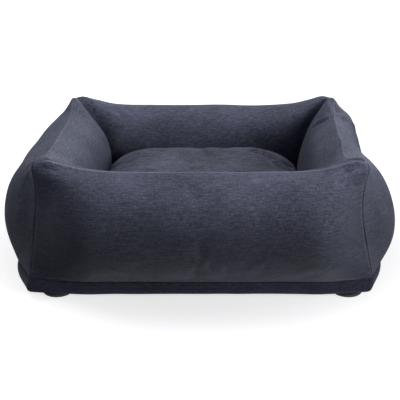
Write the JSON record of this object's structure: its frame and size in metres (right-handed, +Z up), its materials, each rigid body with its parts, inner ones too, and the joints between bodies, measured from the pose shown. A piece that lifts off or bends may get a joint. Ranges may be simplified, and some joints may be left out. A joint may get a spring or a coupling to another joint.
{
  "type": "inflatable dog bed",
  "caption": "Box-shaped fabric pet bed with air-filled walls, soft corner ears, a padded base with its own air chamber, a loose crowned cushion, capped valves and a rear zip.",
  "frame": {"origin": "on the floor, under the middle of the bed", "axes": "+Z up, +X to the right along the long side, front towards -Y"},
  "size_m": [0.7842, 0.692, 0.266],
  "materials": {
    "wall_fabric": "slubbed weave",
    "base_fabric": "slubbed weave",
    "cushion_fabric": "slubbed weave",
    "lining_fabric": "plain weave",
    "foam": "open foam",
    "foot_rubber": "matte",
    "air_film": "satin film",
    "valve_plastic": "satin",
    "eyelet_plastic": "matte",
    "flap_rubber": "matte",
    "zip_tape": "ribbed tape",
    "zip_teeth": "satin",
    "zip_metal": "satin"
  },
  "bodies": {
    "bed": {"front_rear_wall_covers": "wall_fabric", "left_right_wall_covers": "wall_fabric", "front_base_band": "base_fabric", "right_base_band": "base_fabric", "rear_base_band": "base_fabric", "left_base_band": "base_fabric", "floor_panel": "lining_fabric", "underside_panel": "lining_fabric", "feet": "foot_rubber", "wall_air_chamber": "air_film", "base_air_chamber": "air_film", "valve_eyelets": "eyelet_plastic", "valve_stems": "valve_plastic", "rear_zip_upper_tape": "zip_tape", "rear_zip_upper_teeth": "zip_teeth", "rear_zip_lower_tape": "zip_tape", "rear_zip_lower_teeth": "zip_teeth"},
    "cushion": {"cushion_cover": "cushion_fabric", "cushion_core": "foam"},
    "zip_slider": {"rear_zip_slider": "zip_metal"},
    "zip_pull": {"rear_zip_pull": "zip_metal"},
    "wall_cap": {"wall_valve_cap": "valve_plastic"},
    "base_cap": {"base_valve_cap": "valve_plastic"},
    "wall_flap": {"wall_valve_flap": "flap_rubber"},
    "base_flap": {"base_valve_flap": "flap_rubber"}
  },
  "joints": [
    {"name": "cushion_lift", "type": "slide", "parent": "bed", "child": "cushion", "axis": [0, 0, 1], "range_m": [0, 0.3]},
    {"name": "zip_slide", "type": "slide", "parent": "bed", "child": "zip_slider", "axis": [-1, 0, 0], "range_m": [0, 0.329]},
    {"name": "zip_pull_swing", "type": "hinge", "parent": "zip_slider", "child": "zip_pull", "pos_m": [0.1645, 0.3057, 0.027], "axis": [1, 0, 0], "range_deg": [0, 120]},
    {"name": "wall_cap_pull", "type": "slide", "parent": "bed", "child": "wall_cap", "axis": [0, 1, 0], "range_m": [0, 0.02]},
    {"name": "base_cap_pull", "type": "slide", "parent": "bed", "child": "base_cap", "axis": [-1, 0, 0], "range_m": [0, 0.01]},
    {"name": "wall_flap_swing", "type": "hinge", "parent": "bed", "child": "wall_flap", "pos_m": [-0.12, 0.3347, 0.1368], "axis": [1, 0, 0], "range_deg": [-40, 0]},
    {"name": "base_flap_swing", "type": "hinge", "parent": "bed", "child": "base_flap", "pos_m": [-0.3427, 0.09, 0.0284], "axis": [0, 1, 0], "range_deg": [-40, 0]}
  ]
}
